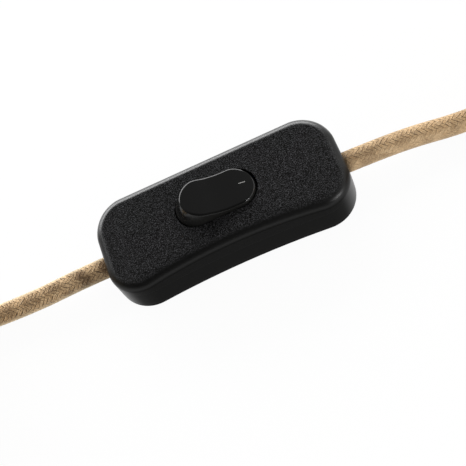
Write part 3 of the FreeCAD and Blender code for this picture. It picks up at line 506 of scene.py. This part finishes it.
SUPPLY_ROUTE = [
    (-40.0, 0.3, 5.6), (-51.0, 0.4, 5.6), (-63.0, 0.3, 4.7), (-76.0, 1.2, 3.6),
    (-90.0, 2.4, FLOOR_LEVEL), (-105.0, 3.2, FLOOR_LEVEL), (-120.0, 3.5, FLOOR_LEVEL),
    (-131.0, 3.5, FLOOR_LEVEL),
]
LOAD_ROUTE = [
    (40.0, -0.4, 5.6), (51.0, -0.8, 5.6), (63.0, -1.3, 4.6), (76.0, -3.0, 3.6),
    (90.0, -3.5, FLOOR_LEVEL), (105.0, -3.5, FLOOR_LEVEL), (120.0, -3.5, FLOOR_LEVEL),
    (133.0, -3.5, FLOOR_LEVEL),
]
SUPPLY_TAIL = [
    (-109.8, 20.5, 23.5), (-118.6, 16.0, 24.2), (-124.3, 7.9, 25.9), (-133.0, 3.5, 26.95),
    (-142.8, 3.5, 26.95),
]
LOAD_TAIL = [
    (111.8, -20.5, 23.5), (120.6, -16.0, 23.6), (126.3, -7.9, 23.9), (135.0, -3.5, 24.2),
    (152.8, -3.5, 24.2),
]


def arc_points(centre, radius, first, turn, steps):
    """Control points of an arc, in degrees, for a spline that touches the lines between them."""
    step = turn / steps
    reach = radius / math.cos(math.radians(step / 2))
    angles = [math.radians(first + step * (k + 0.5)) for k in range(steps)]
    return [(centre[0] + reach * math.cos(a), centre[1] + reach * math.sin(a)) for a in angles]


def smooth_step(share):
    """A share from 0 to 1 with a slow start and end."""
    share = min(max(share, 0.0), 1.0)
    return share * share * (3 - 2 * share)


def hank_turns():
    """Control points of a hank about its waist, entering along -X, with folds in turn.

    Every far fold lies in its own layer. The near fold climbs to the next layer before
    it crosses over the entering cord, and the last one stops where the tail begins.
    """
    centre_y = STRAND + WAIST_RADIUS
    fold_x = math.sqrt((FOLD_RADIUS + WAIST_RADIUS) ** 2 - centre_y ** 2)
    lean = math.degrees(math.atan2(centre_y, fold_x))
    swing = 90 - lean
    round_the_fold = 360 - 2 * lean
    points = []

    def lay(flat, low, high, begin=0, count=1):
        for k, (x, y) in enumerate(flat):
            z = FLOOR_LEVEL + LAYER * (low + (high - low) * smooth_step((begin + k) / count))
            points.append((x, y, z))

    for layer in range(HANK_LAYERS):
        if layer:
            lay(arc_points((0, centre_y), WAIST_RADIUS, 270 + swing, -swing, WAIST_STEPS), layer, layer)
        lay(arc_points((0, centre_y), WAIST_RADIUS, 270, -swing, WAIST_STEPS), layer, layer)
        lay(arc_points((-fold_x, 0), FOLD_RADIUS, lean, round_the_fold, FOLD_STEPS), layer, layer)
        lay(arc_points((0, -centre_y), WAIST_RADIUS, 90 + swing, -swing, WAIST_STEPS), layer, layer)
        climb = arc_points((0, -centre_y), WAIST_RADIUS, 90, -swing, WAIST_STEPS)
        climb += arc_points((fold_x, 0), FOLD_RADIUS, 180 + lean, round_the_fold, FOLD_STEPS)
        if layer == HANK_LAYERS - 1:
            climb = climb[:-TAIL_STEPS]
        lay(climb, layer, layer + 1, begin=1, count=CLIMB_STEPS)
    return points


def hank_at(x, flip):
    """A hank's points set at x, turned half round where flip is -1."""
    return [(x + px * flip, py * flip, pz) for px, py, pz in hank_turns()]


def cord_line(name, points):
    """The smooth line of a cord: the points of a NURBS spline controlled by its route."""
    curve = bpy.data.curves.new(name, "CURVE")
    curve.dimensions = "3D"
    spline = curve.splines.new("NURBS")
    spline.points.add(len(points) - 1)
    for control, point in zip(spline.points, points):
        control.co = (*(Vector(point) * MM), 1)
    spline.order_u = 3
    spline.use_endpoint_u = True
    spline.resolution_u = LINE_STEPS
    holder = bpy.data.objects.new(name, curve)
    mesh = bpy.data.meshes.new_from_object(holder)
    line = np.array([v.co for v in mesh.vertices])
    bpy.data.objects.remove(holder)
    bpy.data.curves.remove(curve)
    bpy.data.meshes.remove(mesh)
    return line


def step_lengths(line):
    """Lengths of the steps between a line's points."""
    return np.linalg.norm(np.diff(line, axis=0), axis=1)


def cross_axes(line):
    """Two directions across a line at each of its points, carried along it without twist."""
    along = np.gradient(line, axis=0)
    along /= np.linalg.norm(along, axis=1)[:, None]
    side = np.empty_like(line)
    side[0] = np.cross(along[0], (0, 0, 1))
    side[0] /= np.linalg.norm(side[0])
    for k in range(1, len(line)):
        side[k] = side[k - 1] - along[k] * (side[k - 1] @ along[k])
        side[k] /= np.linalg.norm(side[k])
    return side, np.cross(side, along)


def braid_height(turn, run):
    """Relief of the braid, from 0 in the gaps to 1 on the bundles."""
    right, left = turn + run, turn - run
    over = np.mod(np.floor(right) + np.floor(left), BRAID_REPEAT) < BRAID_OVER
    across = np.where(over, right, left)
    return np.sqrt(np.abs(np.sin(np.pi * across)))


def cord_tube(name, line, cloth):
    """A braided tube along a line, with UV around it in turns and along it in braid lengths."""
    run = np.concatenate([[0], np.cumsum(step_lengths(line))]) / BRAID_LENGTH
    turn = np.arange(CORD_SIDES) / CORD_SIDES
    relief = braid_height(turn[None] * BRAID_COLUMNS, run[:, None])
    radius = CORD_RADIUS + BRAID_RELIEF * (relief - MEAN_RELIEF)
    side, rise = cross_axes(line)
    angle = 2 * np.pi * turn[None, :, None]
    ring = side[:, None] * np.cos(angle) + rise[:, None] * np.sin(angle)
    points = line[:, None] + ring * radius[..., None]

    corner = np.arange(len(line) * CORD_SIDES).reshape(len(line), CORD_SIDES)
    beside = np.roll(corner, -1, axis=1)
    faces = np.stack([corner[:-1], beside[:-1], beside[1:], corner[1:]], axis=-1).reshape(-1, 4)
    caps = [corner[0][::-1].tolist(), corner[-1].tolist()]
    mesh = bpy.data.meshes.new(name)
    mesh.from_pydata(points.reshape(-1, 3).tolist(), [], faces.tolist() + caps)
    mesh.polygons.foreach_set("use_smooth", [True] * len(faces) + [False] * len(caps))

    ring_of, side_of = np.divmod(faces, CORD_SIDES)
    closing = (side_of == 0) & np.array([False, True, True, False])
    uv = np.zeros((len(mesh.loops), 2))
    uv[:faces.size, 0] = np.where(closing, 1.0, side_of / CORD_SIDES).reshape(-1)
    uv[:faces.size, 1] = run[ring_of].reshape(-1)
    mesh.uv_layers.new(name="braid").data.foreach_set("uv", uv.reshape(-1))
    mesh.materials.append(cloth)
    return add_object(name, mesh)


# Ties: soft straps round the strands at each hank's waist

TIE_WIDTH = 6.0
TIE_THICK = 0.6
TIE_CORNER = 9


def tie_path():
    """Points and outward directions round the strands, in the plane across the cord."""
    reach = CORD_RADIUS / MM + TIE_THICK / 2
    low, high = FLOOR_LEVEL + TIE_THICK, FLOOR_LEVEL + (HANK_LAYERS - 1) * LAYER
    path = []
    for y, z, first in ((STRAND, high, 0), (-STRAND, high, 90), (-STRAND, low, 180), (STRAND, low, 270)):
        for k in range(TIE_CORNER):
            angle = math.radians(first + 90 * k / (TIE_CORNER - 1))
            outward = Vector((0, math.cos(angle), math.sin(angle)))
            path.append((Vector((0, y, z)) + outward * reach, outward))
    return path


def make_tie(name, x, node):
    """A woven strap with rounded edges."""
    half, thick = TIE_WIDTH / 2, TIE_THICK / 2
    section = [(-half, 0), (-half + thick, thick), (half - thick, thick), (half, 0)]
    section += [(half - thick, -thick), (-half + thick, -thick)]
    bm = bmesh.new()
    rings = []
    for centre, outward in tie_path():
        ring = [centre + Vector((x + across, 0, 0)) + outward * out for across, out in section]
        rings.append([bm.verts.new(point * MM) for point in ring])
    for k, ring in enumerate(rings):
        before = rings[k - 1]
        for j in range(len(section)):
            face = bm.faces.new((before[j - 1], before[j], ring[j], ring[j - 1]))
            face.smooth = True
    tie = closed_object(name, bm, FINISHES["tie"])
    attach(tie, "housing")
    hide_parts(node)
    return tie


# The two leads

def make_lead(name, points, cloth, replaced):
    """A braided lead from the housing to its far end."""
    line = cord_line(name, points)
    tube = cord_tube(name, line, cloth)
    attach(tube, "housing")
    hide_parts(*replaced)


def make_supply_lead():
    points = SUPPLY_ROUTE + hank_at(SUPPLY_HANK, 1) + SUPPLY_TAIL
    pieces = [nodes[n] for n in ("plug_body", "plug_pin_front", "plug_pin_rear")]
    pieces.append(make_tie("supply_strap", SUPPLY_HANK, "supply_tie"))
    replaced = ("supply_cord", "supply_hank", "supply_tail")
    make_lead("supply_lead", points, FINISHES["soiled_braid"], replaced)


def make_load_lead():
    points = LOAD_ROUTE + hank_at(LOAD_HANK, -1) + LOAD_TAIL
    ends = ("load_line_end", "load_neutral_end", "load_line_ferrule", "load_neutral_ferrule")
    pieces = [nodes[n] for n in ends]
    pieces.append(make_tie("load_strap", LOAD_HANK, "load_tie"))
    replaced = ("load_cord", "load_hank", "load_tail")
    make_lead("load_lead", points, FINISHES["braid"], replaced)


# The plunger's spring

def shorten_spring():
    """Gives the spring a mesh of its own."""
    spring = nodes["plunger_spring"]
    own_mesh(spring)


# White mark on the end of the rocker that is pressed when the switch is on

PIVOT_HEIGHT = 15.2
ROCKER_TILT = math.radians(13.0)
SADDLE_HEIGHT = 5.05
SADDLE_DIP = 0.9
SADDLE_WAVE = 7.4
MARK_CENTRE = (7.9, 0.3)
MARK_LENGTH = 2.2
MARK_WIDTH = 0.24
MARK_RISE = 0.03
MARK_SINK = 0.03
MARK_STEPS = 24
MARK_BLUNT = 0.02       # keeps the round ends from closing to a point


def saddle_level(x):
    """Height of the rocker's waved top above its pivot."""
    bend = (SADDLE_WAVE ** 2 + SADDLE_DIP ** 2) / (4 * SADDLE_DIP)
    if abs(x) < SADDLE_WAVE / 2:
        return SADDLE_HEIGHT + bend - math.sqrt(bend ** 2 - x ** 2)
    return SADDLE_HEIGHT + SADDLE_DIP - bend + math.sqrt(bend ** 2 - (abs(x) - SADDLE_WAVE) ** 2)


def on_rocker(x, y, rise):
    """A point on the tilted rocker's top."""
    z = saddle_level(x) + rise
    cos_t, sin_t = math.cos(ROCKER_TILT), math.sin(ROCKER_TILT)
    return Vector((x * cos_t + z * sin_t, y, PIVOT_HEIGHT - x * sin_t + z * cos_t)) * MM


def make_mark():
    """A printed line with round ends, laid on the rocker's top."""
    centre_x, centre_y = MARK_CENTRE
    half, round_end = MARK_LENGTH / 2, MARK_WIDTH / 2
    bm = bmesh.new()
    rows = []
    for k in range(MARK_STEPS + 1):
        x = -half + MARK_LENGTH * k / MARK_STEPS
        inset = max(0.0, abs(x) - (half - round_end)) / round_end
        reach = round_end * math.sqrt(max(MARK_BLUNT, 1 - inset ** 2))
        row = [(centre_y - reach, -MARK_SINK), (centre_y - reach, MARK_RISE)]
        row += [(centre_y + reach, MARK_RISE), (centre_y + reach, -MARK_SINK)]
        rows.append([bm.verts.new(on_rocker(centre_x + x, y, rise)) for y, rise in row])
    for before, after in zip(rows, rows[1:]):
        for k in range(len(before)):
            bm.faces.new((before[k - 1], before[k], after[k], after[k - 1]))
    bm.faces.new(rows[0])
    bm.faces.new(rows[-1][::-1])
    ink = new_material("white_ink", Base_Color=(0.2, 0.2, 0.19, 1), Roughness=0.5)[0]
    mark = closed_object("rocker_mark", bm, ink)
    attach(mark, "rocker")


# Studio: floor, lamps and surroundings

FLOOR_REACH = 3.0
FLOOR_DROP = 0.00002    # keeps the floor clear of the underside
FLOOR_GLOW = 0.95       # share of plain white where the floor is looked at or mirrored
LAMP_AIM = Vector((0, 0, 0.01))
LAMPS = {
    "back_softbox": {"place": (-0.1, 0.8, 0.29), "size": (1.6, 0.54), "power": 19.0},
    "right_softbox": {"place": (0.8, 0.05, 0.25), "size": (1.0, 0.4), "power": 2.0},
    "corner_lamp": {"place": (0.62, -0.55, 0.2), "size": (0.3, 0.1), "power": 3.0},
}
AMBIENT = 0.55          # light from all round
MIRRORED_FRONT = 0.08   # what gloss mirrors of the front
MIRRORED_BACK = 0.3     # and of the back


def make_floor():
    """Pale floor, white to the eye except for the object's shadow."""
    material, graph, shader = new_material(
        "white_floor", Base_Color=(0.86, 0.86, 0.86, 1), Roughness=0.9, Specular_IOR_Level=0.0
    )
    white = graph.add("ShaderNodeEmission")
    white.inputs["Strength"].default_value = 1.0
    ray = graph.add("ShaderNodeLightPath").outputs
    looked_at = graph.math("ADD", ray["Is Camera Ray"], ray["Is Glossy Ray"])
    looked_at = graph.math("ADD", looked_at, ray["Is Transmission Ray"], clamp=True)
    blend = graph.add("ShaderNodeMixShader")
    graph.put(graph.math("MULTIPLY", looked_at, FLOOR_GLOW), blend.inputs[0])
    graph.put(shader.outputs[0], blend.inputs[1])
    graph.put(white.outputs[0], blend.inputs[2])
    out = next(n for n in material.node_tree.nodes if n.type == "OUTPUT_MATERIAL")
    graph.put(blend.outputs[0], out.inputs["Surface"])

    corners = [(x * FLOOR_REACH, y * FLOOR_REACH, 0) for x, y in ((-1, -1), (1, -1), (1, 1), (-1, 1))]
    mesh = bpy.data.meshes.new("floor")
    mesh.from_pydata(corners, [], [(0, 1, 2, 3)])
    mesh.materials.append(material)
    floor = add_object("floor", mesh)
    floor.location.z = -FLOOR_DROP


def make_lamp(name, place, size, power):
    """A flat lamp of the given width and height that faces the switch."""
    data = bpy.data.lights.new(name, "AREA")
    data.shape = "RECTANGLE"
    data.size, data.size_y = size
    data.energy = power
    lamp = add_object(name, data)
    lamp.location = place
    lamp.rotation_euler = (LAMP_AIM - Vector(place)).to_track_quat("-Z", "Y").to_euler()


def make_world():
    """Even light from all round, white to the eye, and darker where gloss mirrors it."""
    world = bpy.data.worlds.new("studio")
    bpy.context.scene.world = world
    world.use_nodes = True
    graph = Graph(world.node_tree)
    ground = next(n for n in world.node_tree.nodes if n.type == "BACKGROUND")
    graph.put((1, 1, 1, 1), ground.inputs["Color"])
    toward_back = graph.split(graph.coordinates("Generated"))["Y"]
    mirrored = graph.ramp(toward_back, -0.5, 0.5, MIRRORED_FRONT - AMBIENT, MIRRORED_BACK - AMBIENT)
    ray = graph.add("ShaderNodeLightPath").outputs
    strength = graph.math("MULTIPLY_ADD", ray["Is Glossy Ray"], mirrored, AMBIENT)
    strength = graph.math("MULTIPLY_ADD", ray["Is Camera Ray"], 1.0 - AMBIENT, strength)
    graph.put(strength, ground.inputs["Strength"])


def make_studio():
    make_floor()
    for name, lamp in LAMPS.items():
        make_lamp(name, **lamp)
    make_world()
    bpy.context.scene.view_settings.view_transform = "Standard"


make_camera()
dress_nodes()
shorten_spring()
make_supply_lead()
make_load_lead()
make_mark()
make_studio()
